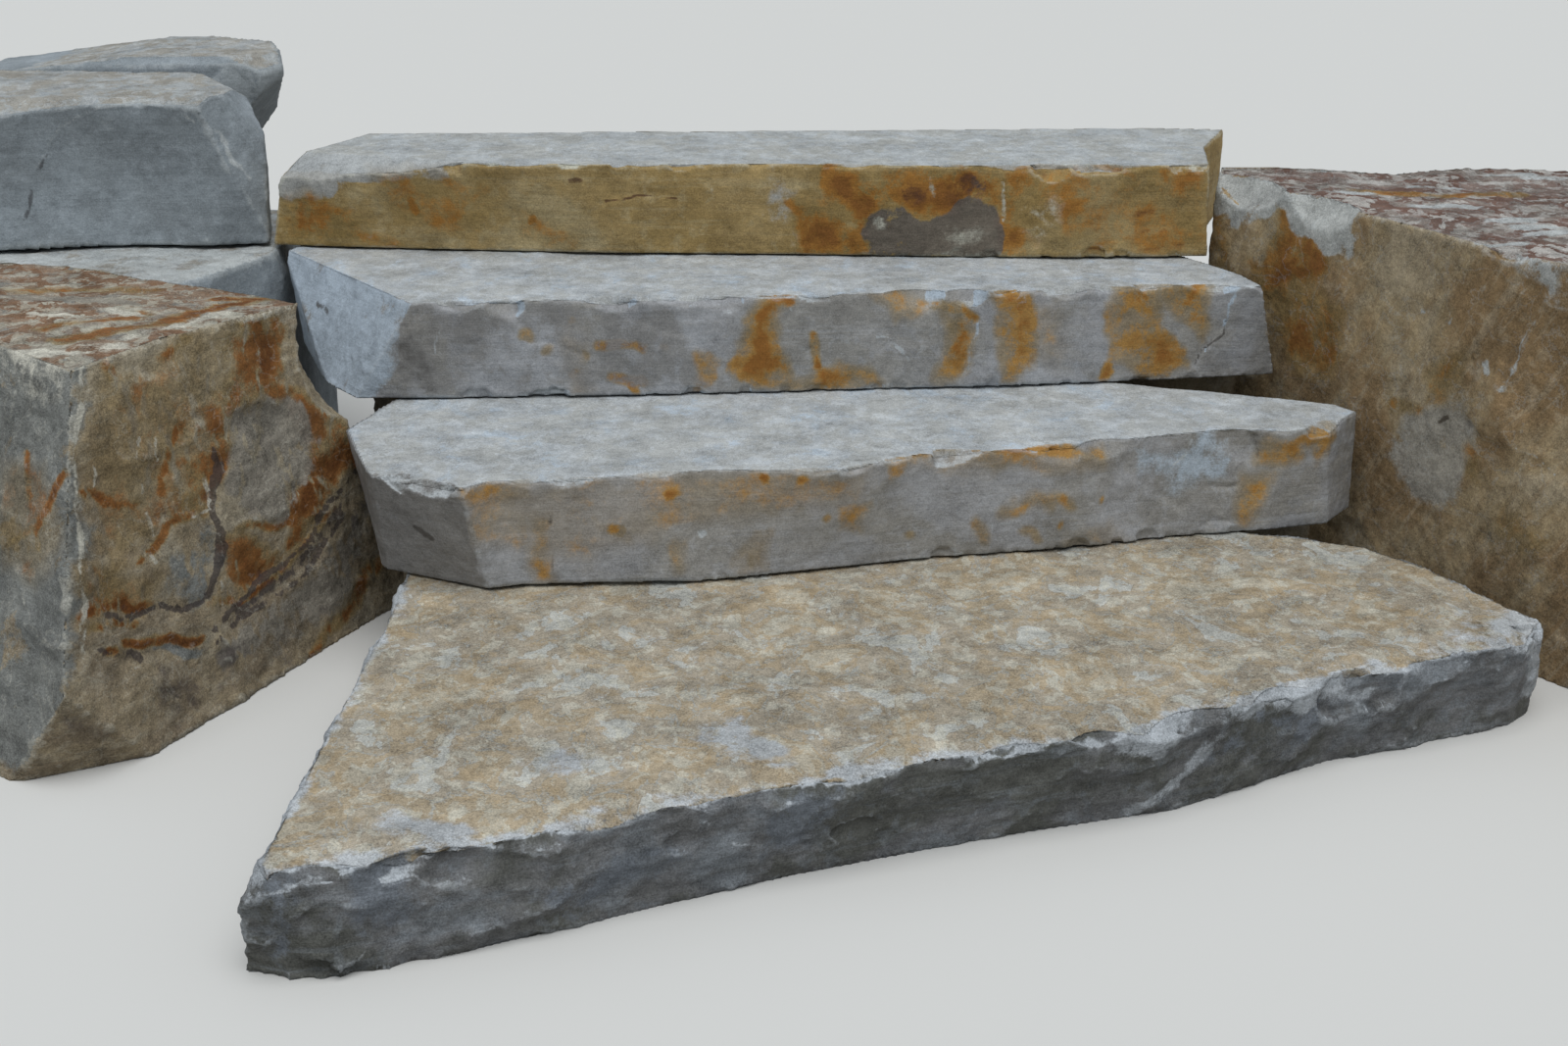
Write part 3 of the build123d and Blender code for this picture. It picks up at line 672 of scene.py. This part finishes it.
BOTTOM_COATS = {
    ("pale", "above"): [
        (26, 0.6, [p[:2] for p in BOTTOM_ARRIS]), (16, 0.5, [(-615, -480), (-590, 420)]),
        (60, 0.6, [(1060, 235), (1110, 280)])],
    ("pale", "front"): [
        (0, 1.2, [(440, 155), (550, 155), (545, 118), (500, 98), (455, 112)]),
        (0, 1.3, [(600, 155), (800, 155), (790, 122), (740, 112), (700, 120), (610, 122)]),
        (10, 0.6, [(470, 15), (550, 55), (600, 100)]), (12, 0.5, [(770, 110), (830, 105)]),
        (0, 0.75, [(1055, 155), (1140, 155), (1140, 30), (1112, 40), (1095, 110)]),
        (3, 0.5, [(-100, 110), (-60, 70), (-30, 60)])],
    ("pale", "left"): [(22, 0.8, [(-520, 150), (440, 150)])],
    ("grey", "front"): [
        (0, 0.6, [(-615, 135), (-560, 135), (-555, 20), (-605, 20)]),
        (0, 0.7, [(-525, 145), (-430, 145), (-440, 75), (-500, 60)]),
        (0, 0.7, [(-310, 55), (-160, 120), (-110, 70), (-260, 20)]),
        (0, 0.5, [(-20, 130), (110, 130), (60, 60), (-60, 30)]),
        (0, 0.6, [(620, 120), (800, 110), (760, 60), (640, 40), (560, 60)])],
    ("slate", "above"): [
        (34, 0.7, [(-80, -120), (-30, -170)]), (26, 0.5, [(-330, -190), (-270, -200)]),
        (26, 0.5, [(-470, -380), (-400, -390)])],
}
SECOND_COATS = {
    ("iron", "front"): [
        (0, 0.55, [(-505, 325), (-380, 325), (-385, 295), (-440, 280), (-500, 300)]),
        (0, 0.42, [(-340, 325), (-250, 320), (-250, 280), (-330, 285)]),
        (0, 0.36, [(-490, 325), (150, 325), (120, 250), (-200, 220), (-300, 180), (-480, 220)]),
        (9, 0.95, [(-265, 240), (-255, 238)]), (16, 0.4, [(-290, 250), (-240, 225)]),
        (0, 0.45, [(-60, 325), (80, 322), (70, 300), (-10, 290), (-50, 300)]), (9, 0.6, [(-165, 285)]),
        (8, 0.65, [(-30, 310)]), (8, 0.65, [(30, 305)]),
        (0, 0.6, [(85, 255), (125, 255), (120, 220), (90, 215)]), (7, 0.6, [(65, 235)]),
        (0, 0.6, [(-65, 190), (-20, 215), (-25, 175), (-60, 160)]), (8, 0.6, [(200, 190)]),
        (0, 0.6, [(-395, 260), (-360, 265), (-355, 160), (-390, 155)]),
        (14, 0.4, [(-160, 175), (-155, 200)]), (12, 0.4, [(-320, 290), (-300, 275)]),
        (11, 0.55, [(185, 320), (245, 318), (360, 325), (420, 322), (485, 308), (510, 300)]),
        (22, 0.4, [(180, 305), (330, 312), (500, 295)]),
        (13, 0.5, [(355, 225), (380, 228), (410, 240), (420, 230)]), (10, 0.5, [(430, 240), (460, 220)]),
        (12, 0.5, [(310, 200), (325, 180)]), (9, 0.6, [(385, 185), (400, 170)]), (6, 0.6, [(445, 190)]),
        (6, 0.6, [(510, 225)]), (22, 0.35, [(475, 165), (545, 155)]),
        (0, 0.75, [(775, 275), (790, 308), (845, 308), (845, 270), (800, 265)]),
        (0, 0.7, [(750, 240), (795, 245), (790, 210), (775, 165), (750, 190)]),
        (0, 0.8, [(855, 310), (895, 310), (908, 285), (880, 265)])],
    # the grey area over the left end facet is painted shade
    ("grey", "front"): [
        (0, 1.3, [(-660, 330), (-500, 330), (-485, 200), (-470, 145), (-620, 140), (-660, 220)])],
    ("dark", "front"): [
        # the first, broad mark darkens the left end facet too: painted shade
        (30, 0.25, [(-600, 250), (-560, 215), (-520, 170)]), (5, 0.7, [(-570, 240), (-545, 228)]),
        (4, 0.6, [(-360, 262), (-362, 252)]), (3, 0.35, [(-360, 250), (-355, 165)]),
        (5, 0.3, [(-112, 305), (-106, 245)])],
    ("dark", "above"): [(6, 0.4, [(-100, 505), (-70, 575), (-10, 605)]), (8, 0.4, [(10, 510), (145, 512)])],
    ("pale", "front"): [
        (6, 0.8, [(-125, 220)]), (2, 0.6, [(320, 265), (335, 230), (335, 185)]),
        (2, 0.5, [(335, 200), (365, 200)]), (2, 0.5, [(635, 265), (650, 280), (665, 310)]),
        (0, 0.2, [(560, 320), (720, 322), (730, 255), (660, 240), (600, 275)])],
    ("slate", "above"): [(16, 0.6, [(835, 610), (905, 640)])],
    ("slate", "front"): [(0, 0.45, [(560, 315), (740, 318), (735, 220), (640, 215), (575, 260)])],
}
THIRD_COATS = {
    ("iron", "front"): [
        (9, 0.9, [(-435, 430)]), (8, 0.7, [(-405, 405)]),
        (7, 0.95, [(-320, 408), (-285, 415), (-250, 412), (-235, 405)]), (8, 0.6, [(-340, 390)]),
        (8, 0.7, [(-360, 365)]), (8, 0.95, [(-295, 362), (-270, 352), (-240, 356)]),
        (8, 0.9, [(-262, 350), (-255, 335)]), (7, 0.6, [(-360, 450)]), (7, 0.5, [(-200, 410)]),
        (22, 0.35, [(-370, 420), (-350, 350)]),
        (0, 0.85, [(-35, 497), (15, 492), (-20, 450), (-5, 400), (12, 335), (-20, 360), (-45, 335),
            (-85, 370), (-60, 400), (-65, 445)]),
        (0, 0.8, [(-135, 390), (-105, 390), (-120, 355), (-145, 340)]),
        (0, 0.8, [(-25, 345), (40, 340), (50, 365), (155, 355), (160, 335), (60, 328)]),
        (6, 0.8, [(50, 425), (55, 370)]), (0, 0.65, [(155, 492), (195, 482), (250, 470), (195, 450)]),
        (7, 0.7, [(260, 470), (310, 465), (332, 445)]),
        (0, 0.75, [(270, 460), (315, 455), (328, 420), (315, 360), (290, 335), (258, 340), (275, 400)]),
        (0, 0.95, [(370, 492), (435, 487), (440, 380), (415, 340), (385, 340), (375, 425)]),
        (0, 0.4, [(345, 482), (495, 482), (490, 340), (450, 355)]),
        (0, 0.95, [(575, 487), (650, 487), (655, 430), (700, 345), (635, 340), (575, 370)]),
        (8, 0.8, [(565, 355), (560, 335)]),
        (0, 0.9, [(660, 492), (740, 482), (740, 420), (730, 390), (705, 430), (665, 465)]),
        (10, 0.6, [(868, 430), (862, 405)])],
    ("grey", "front"): [(0, 0.5, [(-650, 490), (-180, 490), (-110, 335), (-680, 335)])],
    ("slate", "front"): [(0, 1.1, [(-860, 500), (-665, 500), (-650, 400), (-700, 320), (-860, 320)])],
    ("slate", "left"): [(0, 1.1, [(700, 320), (1300, 320), (1300, 500), (700, 500)])],
    ("dark", "front"): [
        (34, 0.36, [(-610, 460), (-620, 350)]), (5, 0.8, [(-835, 430), (-815, 425)]),
        (2, 0.6, [(780, 462), (770, 400), (735, 375), (720, 345)])],
    ("pale", "front"): [
        (2, 0.6, [(100, 410), (115, 410)]), (2, 0.7, [(155, 420), (185, 415)]),
        (3, 0.7, [(185, 410), (205, 395), (215, 370)]), (2, 0.6, [(220, 385), (240, 375)]),
        (2, 0.6, [(-585, 440), (-590, 405)])],
}
TOP_COATS = {
    ("iron", "front"): [
        (0, 0.6, [(-925, 580), (-880, 600), (-780, 560), (-700, 500), (-925, 500)]),
        (0, 0.45, [(-760, 650), (-560, 655), (-500, 560), (-640, 520), (-740, 560)]),
        (8, 0.9, [(-682, 585), (-678, 570)]), (8, 0.8, [(-460, 556)]),
        (24, 0.4, [(-500, 560), (-380, 520)]), (0, 0.4, [(20, 668), (160, 668), (155, 500), (20, 500)]),
        (0, 0.5, [(390, 668), (780, 668), (780, 495), (390, 495)]),
        (0, 1.0, [(15, 590), (50, 570), (145, 530), (155, 500), (25, 500)]),
        (0, 1.1, [(70, 665), (145, 640), (205, 620), (155, 565), (160, 530), (125, 575), (80, 625)]),
        (0, 0.85, [(170, 650), (240, 655), (395, 655), (395, 590), (300, 575), (190, 590)]),
        (0, 0.95, [(385, 565), (430, 555), (430, 500), (388, 500)]),
        (0, 1.0, [(400, 650), (455, 645), (470, 620), (415, 610), (415, 560), (400, 565)]),
        (0, 0.9, [(485, 595), (555, 610), (535, 570), (510, 555)]),
        (0, 0.85, [(565, 662), (690, 657), (690, 630), (605, 640)]),
        (0, 0.7, [(505, 625), (615, 620), (605, 605), (505, 610)])],
    ("dark", "front"): [
        (0, 0.42, [(190, 642), (240, 647), (272, 625), (265, 600), (200, 590)]),
        (0, 0.45, [(295, 642), (315, 654), (370, 652), (395, 635), (375, 600), (315, 580), (290, 600)]),
        (7, 0.34, [(615, 580), (755, 582)]), (5, 0.34, [(625, 545), (760, 550)]),
        (7, 0.34, [(625, 512), (760, 517)]), (6, 0.32, [(520, 535), (600, 532)]),
        (2, 0.7, [(-325, 595), (-260, 605), (-195, 600)]), (6, 0.8, [(-382, 635), (-372, 632)])],
    ("grey", "front"): [
        (0, 1.3, [(160, 565), (185, 575), (260, 560), (355, 588), (380, 575), (385, 495), (165, 495)]),
        (16, 0.5, [(350, 625), (350, 600)])],
    ("pale", "front"): [
        (3, 0.6, [(396, 635), (400, 560)]), (9, 0.5, [(175, 560), (190, 545)]),
        (0, 0.5, [(420, 600), (485, 615), (510, 540), (455, 510), (425, 540)]),
        (5, 0.5, [(265, 640), (268, 610)]), (0, 0.26, [(165, 560), (370, 570), (380, 500), (165, 500)])],
    ("slate", "front"): [
        (0, 1.2, [(-930, 665), (-930, 590), (-880, 585), (-840, 600), (-800, 625), (-620, 645),
            (-620, 665)]), (26, 0.35, [(-10, 640), (0, 510)])],
}

# How far apart the points of the even skins are
SLAB_MM, BOULDER_MM, SMOOTH_BOULDER_MM, BEARING_MM = 4.6, 6.0, 8.0, 10.0

make_stone("bottom_step", SLAB_MM, 185000, bottom_step, buff_stone, 3, BOTTOM_COATS)
make_stone("second_step", SLAB_MM, 150000, second_step, grey_stone, 5, SECOND_COATS)
make_stone("third_step", SLAB_MM, 135000, third_step, grey_stone, 7, THIRD_COATS)
make_stone("top_step", SLAB_MM, 115000, top_step, ochre_stone, 9, TOP_COATS)


# The boulders


# Edges on the right boulder's face where flakes came off, seen from the left
UPPER_FLAKE = [(545, 420), (540, 465), (530, 515), (505, 565), (490, 612)]
LOWER_FLAKE = [(415, 310), (450, 325), (480, 335), (515, 340), (570, 345), (625, 375)]


def left_lower_boulder(skin):
    """Broad split face with ledges along its bands."""
    split_faces(skin, 130.0, 15.0, 2.0, 1.2, 0.35)
    for line, depth_mm, fade_mm in (
            ([(-850, 365), (-840, 410), (-815, 412), (-790, 385), (-750, 295)], 7.0, 90),
            ([(-860, 330), (-860, 290), (-850, 255), (-850, 225), (-860, 195)], 6.0, 60),
            ([(-865, 175), (-890, 170), (-925, 195), (-955, 220)], 4.5, 50),
            ([(-730, 205), (-755, 185), (-785, 160), (-820, 155), (-840, 135)], 4.5, 40),
            ([(-720, 190), (-750, 145), (-785, 120), (-820, 120), (-850, 105)], 4.5, 60),
            ([(-965, 175), (-930, 155), (-870, 125)], 5.0, 50),
            ([(-905, 390), (-910, 340), (-895, 300), (-920, 265)], 4.0, 60)):
        skin.step_back("front", line, depth_mm, fade_mm)
    cleft_top(skin, 3.0, 3.0, 1.0)


def turned(places, angle):
    """The places turned about X, so that noise on them rakes up a face that looks along X."""
    c, s = math.cos(math.radians(angle)), math.sin(math.radians(angle))
    return places @ np.array([(1, 0, 0), (0, c, s), (0, -s, c)])


def right_boulder(skin):
    """Long face with a raking grain."""
    split_faces(skin, 260.0, 10.0, 0.0, 0.7, 0.3)
    raking = turned(skin.places, 63.0)
    skin.swell(skin.side * rough(raking, 20, 2, 66, (16.0, 16.0, 1.0), 0.6) * 1.6)
    skin.step_back("left", UPPER_FLAKE, 6.0, 160)
    skin.step_back("left", LOWER_FLAKE, 6.0, 130)
    cleft_top(skin, 3.0, 3.0, 1.0)


def plain_boulder(skin):
    """Smooth split boulder."""
    split_faces(skin, 250.0, 8.0, 0.5, 0.4, 0.3)
    cleft_top(skin, 2.5, 2.0, 0.8)


def bearing(skin):
    """Rough-squared stone, pitched all round."""
    split_faces(skin, 110.0, 14.0, 2.0, 1.2, 0.3)


LEFT_LOWER_COATS = {
    ("iron", "front"): [
        (0, 0.42, [(-975, 545), (-850, 540), (-800, 500), (-860, 380), (-880, 300), (-975, 260)]),
        (0, 1.15, [(-840, 547), (-815, 532), (-800, 490), (-795, 410), (-825, 425), (-845, 400),
            (-850, 450), (-830, 470)]),
        (0, 1.15, [(-795, 412), (-745, 355), (-725, 305), (-715, 265), (-745, 225), (-775, 185),
            (-775, 245), (-745, 295), (-770, 345)]),
        (0, 0.95, [(-875, 435), (-855, 420), (-855, 355), (-865, 315), (-870, 290), (-885, 300),
            (-880, 395)]), (5, 0.85, [(-880, 295), (-900, 295), (-915, 280), (-920, 265)]),
        (0, 1.0, [(-842, 230), (-830, 220), (-795, 170), (-820, 165), (-845, 175)]),
        (5, 0.7, [(-835, 245), (-820, 240), (-795, 220), (-780, 225)]),
        (0, 0.75, [(-975, 295), (-950, 285), (-940, 245), (-910, 215), (-935, 200), (-970, 225)]),
        (5, 0.9, [(-970, 235), (-945, 222), (-920, 200)]),
        (3, 0.8, [(-895, 430), (-905, 395), (-910, 340)]), (6, 0.6, [(-960, 560), (-950, 525)]),
        (10, 0.55, [(-885, 535), (-910, 525)]), (6, 0.6, [(-975, 390), (-955, 363), (-930, 350)]),
        (5, 0.75, [(-995, 425), (-1020, 390), (-1050, 330), (-1045, 315)]),
        (5, 0.6, [(-1075, 420), (-1070, 370)]), (6, 0.6, [(-1100, 310), (-1050, 335)]),
        (0, 0.4, [(-1130, 400), (-1030, 420), (-1000, 330), (-1040, 260), (-1130, 260)]),
        (4, 0.8, [(-965, 210), (-940, 195), (-925, 185)]),
        (5, 0.9, [(-950, 168), (-915, 150), (-895, 137), (-870, 125)]),
        (5, 0.65, [(-860, 165), (-835, 140), (-790, 150), (-755, 185), (-735, 205)]),
        (9, 0.8, [(-685, 75), (-710, 40), (-750, 5)])],
    ("iron", "above"): [
        (15, 0.9, [(-1060, 360), (-1005, 395), (-960, 455), (-925, 545), (-895, 630), (-840, 690)]),
        (14, 0.85, [(-910, 685), (-845, 690)]), (22, 0.5, [(-1230, 700), (-1150, 740), (-1050, 740)]),
        (16, 0.5, [(-1100, 430), (-1020, 480), (-990, 560)])],
    ("slate", "front"): [
        (0, 0.9, [(-1260, 590), (-990, 575), (-985, 460), (-980, 330), (-975, 185), (-990, 140),
            (-1060, 70), (-1260, 60)]),
        (0, 0.7, [(-875, 275), (-855, 250), (-855, 210), (-880, 175), (-905, 215), (-895, 250)]),
        (6, 0.6, [(-910, 140), (-870, 105)])],
    ("slate", "left"): [(0, 0.9, [(-100, 20), (900, 20), (900, 590), (-100, 590)])],
    ("grey", "front"): [
        (0, 0.95, [(-840, 405), (-815, 408), (-790, 385), (-755, 295), (-765, 260), (-790, 235),
            (-825, 250), (-845, 325), (-850, 365)]),
        (0, 0.7, [(-730, 150), (-690, 190), (-680, 90), (-760, 20), (-860, 60), (-850, 95),
            (-790, 110)])],
    ("grey", "above"): [(26, 0.7, [(-1215, 640), (-1165, 650), (-1040, 625)])],
    ("dark", "front"): [
        (3, 1.7, [(-860, 345), (-860, 290), (-850, 255), (-850, 225), (-860, 195), (-865, 175)]),
        (2, 1.2, [(-865, 175), (-890, 170), (-910, 190), (-940, 200), (-955, 220)]),
        (2.5, 1.3, [(-725, 225), (-750, 205), (-755, 180), (-785, 160), (-820, 155), (-840, 135),
            (-855, 120)]), (1.5, 1.2, [(-720, 207), (-745, 182), (-775, 145), (-800, 138), (-835, 128)]),
        (2, 1.2, [(-720, 190), (-730, 175), (-765, 130), (-785, 120), (-820, 120), (-850, 105)]),
        (14, 0.45, [(-725, 200), (-760, 155), (-800, 140), (-840, 120)]),
        (2, 0.9, [(-865, 375), (-860, 330)]), (2, 0.9, [(-710, 245), (-725, 220)]),
        (2, 0.8, [(-960, 175), (-940, 155), (-925, 135)]), (12, 0.4, [(-710, 240), (-700, 165)]),
        (46, 0.35, [(-960, 95), (-870, 40), (-780, 25)])],
    ("pale", "front"): [
        (2, 0.6, [(-985, 560), (-980, 500), (-983, 465), (-983, 365), (-975, 295), (-970, 175)]),
        (8, 0.6, [(-1125, 564), (-1040, 564), (-990, 564), (-945, 562), (-900, 558), (-855, 552),
            (-785, 539)]),
        (0, 0.45, [(-1150, 575), (-1000, 575), (-1010, 510), (-1060, 480), (-1150, 500)]),
        (2, 0.7, [(-870, 335), (-865, 310), (-865, 290), (-880, 290)]),
        (1.5, 0.6, [(-920, 275), (-920, 265), (-910, 250)]), (1.5, 0.5, [(-850, 185), (-850, 145)]),
        (1.5, 0.55, [(-965, 425), (-965, 390)]), (1.5, 0.55, [(-930, 435), (-930, 410)]),
        (1.5, 0.55, [(-915, 425), (-910, 390)]), (1.5, 0.5, [(-925, 375), (-925, 355)]),
        (1.5, 0.5, [(-925, 330), (-920, 290)]), (2, 0.6, [(-895, 515)]), (2, 0.6, [(-855, 480)]),
        (2, 0.6, [(-850, 495)])],
    ("pale", "above"): [
        (10, 0.6, [(-1060, 565), (-985, 545)]), (22, 0.7, [(-1085, 275), (-1030, 300), (-975, 330)]),
        (12, 0.6, [(-960, 380), (-900, 500), (-860, 600)]), (12, 0.6, [(-1150, 520), (-1080, 510)])],
}
RIGHT_COATS = {
    ("iron", "left"): [
        (0, 0.85, [(1065, 612), (1035, 577), (975, 577), (945, 530), (970, 485), (1090, 440)]),
        (0, 0.6, [(1130, 510), (925, 480), (875, 465), (895, 350), (1000, 330)]),
        (0, 0.65, [(700, 420), (625, 455), (640, 375), (680, 370)]), (12, 0.6, [(755, 340), (705, 345)]),
        (18, 0.5, [(585, 315), (565, 270)]), (26, 0.4, [(505, 210), (445, 210)]),
        (26, 0.45, [(1230, 580), (1190, 480)])],
    ("iron", "above"): [(16, 0.7, [(1010, 1085), (1080, 1055), (1150, 1030), (1285, 1055)])],
    ("slate", "left"): [
        (0, 0.7, [(755, 290), (720, 345), (620, 370), (575, 345), (575, 305), (600, 215), (655, 190),
            (760, 240)]), (0, 0.6, [(625, 420), (600, 455), (600, 380), (640, 365)])],
    ("dark", "left"): [(3, 0.7, [(650, 340), (635, 352)])],
    ("pale", "left"): [
        (0, 1.3, [(1350, 600), (1300, 670), (915, 670), (895, 565), (950, 555), (980, 580), (1030, 575),
            (1045, 612), (1085, 612), (1095, 590), (1165, 565), (1180, 580), (1350, 570)]),
        (0, 0.8, [(590, 660), (490, 660), (495, 610), (550, 612)]),
        (2, 0.5, UPPER_FLAKE), (2, 0.5, LOWER_FLAKE[:-1]), (4, 0.7, [(1000, 460)]),
        (3, 0.7, [(720, 505)]), (3, 0.7, [(660, 515)]), (3, 0.7, [(665, 500)]),
        (4, 0.7, [(590, 460), (580, 440)]), (4, 0.7, [(545, 425)]), (3, 0.7, [(940, 380)])],
    ("pale", "above"): [
        (14, 0.8, [(1080, 935), (1165, 935)]), (14, 0.8, [(1170, 825), (1230, 820)]),
        (14, 0.8, [(1195, 770), (1250, 775)]), (12, 0.7, [(1300, 1235), (1375, 1230)]),
        (12, 0.7, [(1360, 1200), (1430, 1195)]), (14, 0.8, [(1200, 725), (1270, 720)]),
        (14, 0.8, [(950, 1065), (1005, 1060)]), (12, 0.7, [(1120, 1120), (1190, 1110)]),
        (10, 0.9, [(1090, 640), (1165, 650)])],
}
MIDDLE_COATS = {
    ("pale", "above"): [(0, 0.6, [(-1700, 500), (-800, 500), (-800, 1400), (-1700, 1400)])],
}
UPPER_COATS = {
    ("pale", "front"): [
        (4, 0.4, [(-1375, 650), (-1335, 710), (-1265, 750), (-1175, 757), (-1110, 742), (-1045, 702),
            (-1020, 648), (-995, 615)])],
    # a dark line painted along a crease: painted shade
    ("dark", "front"): [(4, 0.6, [(-1345, 685), (-1385, 625), (-1405, 550)])],
}

make_stone("left_lower_boulder", BOULDER_MM, 120000, left_lower_boulder, banded_stone, 11, LEFT_LOWER_COATS)
make_stone("left_middle_boulder", SMOOTH_BOULDER_MM, 15000, plain_boulder, blue_stone, 13, MIDDLE_COATS)
make_stone("left_upper_boulder", BOULDER_MM, 45000, plain_boulder, blue_stone, 15, UPPER_COATS)
make_stone("left_rear_boulder", SMOOTH_BOULDER_MM, 15000, plain_boulder, blue_stone, 17)
make_stone("right_boulder", BOULDER_MM, 105000, right_boulder, golden_stone, 19, RIGHT_COATS)

for count, node in enumerate(sorted(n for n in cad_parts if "bearing" in n)):
    make_stone(node, BEARING_MM, 2500, bearing, rubble_stone, 40 + count)


# Floor, lamps and camera


def plain_floor():
    """Pale level floor that takes the shadow, and throws back less light than it shows."""
    sheet = bmesh.new()
    bmesh.ops.create_grid(sheet, x_segments=1, y_segments=1, size=40.0)
    mesh = bpy.data.meshes.new("floor")
    sheet.to_mesh(mesh)
    sheet.free()
    floor = bpy.data.objects.new("floor", mesh)
    bpy.context.scene.collection.objects.link(floor)
    material = bpy.data.materials.new("pale_floor")
    material.use_nodes = True
    tree = material.node_tree
    tree.nodes.clear()
    seen = add(tree, "LightPath", {}, output="Is Camera Ray")
    glossy = add(tree, "LightPath", {}, output="Is Glossy Ray")
    shown = add(tree, "Math", {0: seen, 1: glossy}, operation="MAXIMUM")
    tone = add(tree, "Mix", {0: shown, 6: linear("a09d98"), 7: linear("d6d6d3")}, output=2, data_type="RGBA")
    shader = add(tree, "BsdfPrincipled", {"Base Color": tone, "Roughness": 0.95, "Specular IOR Level": 0.1})
    add(tree, "OutputMaterial", {"Surface": shader})
    mesh.materials.append(material)


def soft_sun(name, azimuth, height, width, power):
    """Broad soft light from a direction, the same all over the floor."""
    lamp = bpy.data.lights.new(name, "SUN")
    lamp.angle = math.radians(width)
    lamp.energy = power
    holder = bpy.data.objects.new(name, lamp)
    holder.rotation_euler = Vector(heading(azimuth, height)).to_track_quat("Z", "Y").to_euler()
    bpy.context.scene.collection.objects.link(holder)


def sky(level, colour):
    """Even light from all round."""
    world = bpy.data.worlds.new("sky")
    world.use_nodes = True
    back = world.node_tree.nodes["Background"]
    back.inputs["Color"].default_value = linear(colour)
    back.inputs["Strength"].default_value = level
    bpy.context.scene.world = world


def camera():
    """Camera at the photograph's angle: chest high in front of the flight, and looking down at it."""
    lens_mm, height, distance, down = 49.5, 1.36, 2.7, 19.61
    data = bpy.data.cameras.new("camera")
    data.lens = lens_mm
    data.sensor_width = 36.0
    data.clip_end = 100.0
    holder = bpy.data.objects.new("camera", data)
    holder.location = (0.0, -distance, height)
    holder.rotation_euler = (math.radians(90.0 - down), 0.0, 0.0)
    bpy.context.scene.collection.objects.link(holder)
    bpy.context.scene.camera = holder


plain_floor()
soft_sun("key", 274, 68, 60, 1.9)
sky(0.5, "e4ebf2")
camera()

view = bpy.context.scene.view_settings
view.view_transform = "Standard"
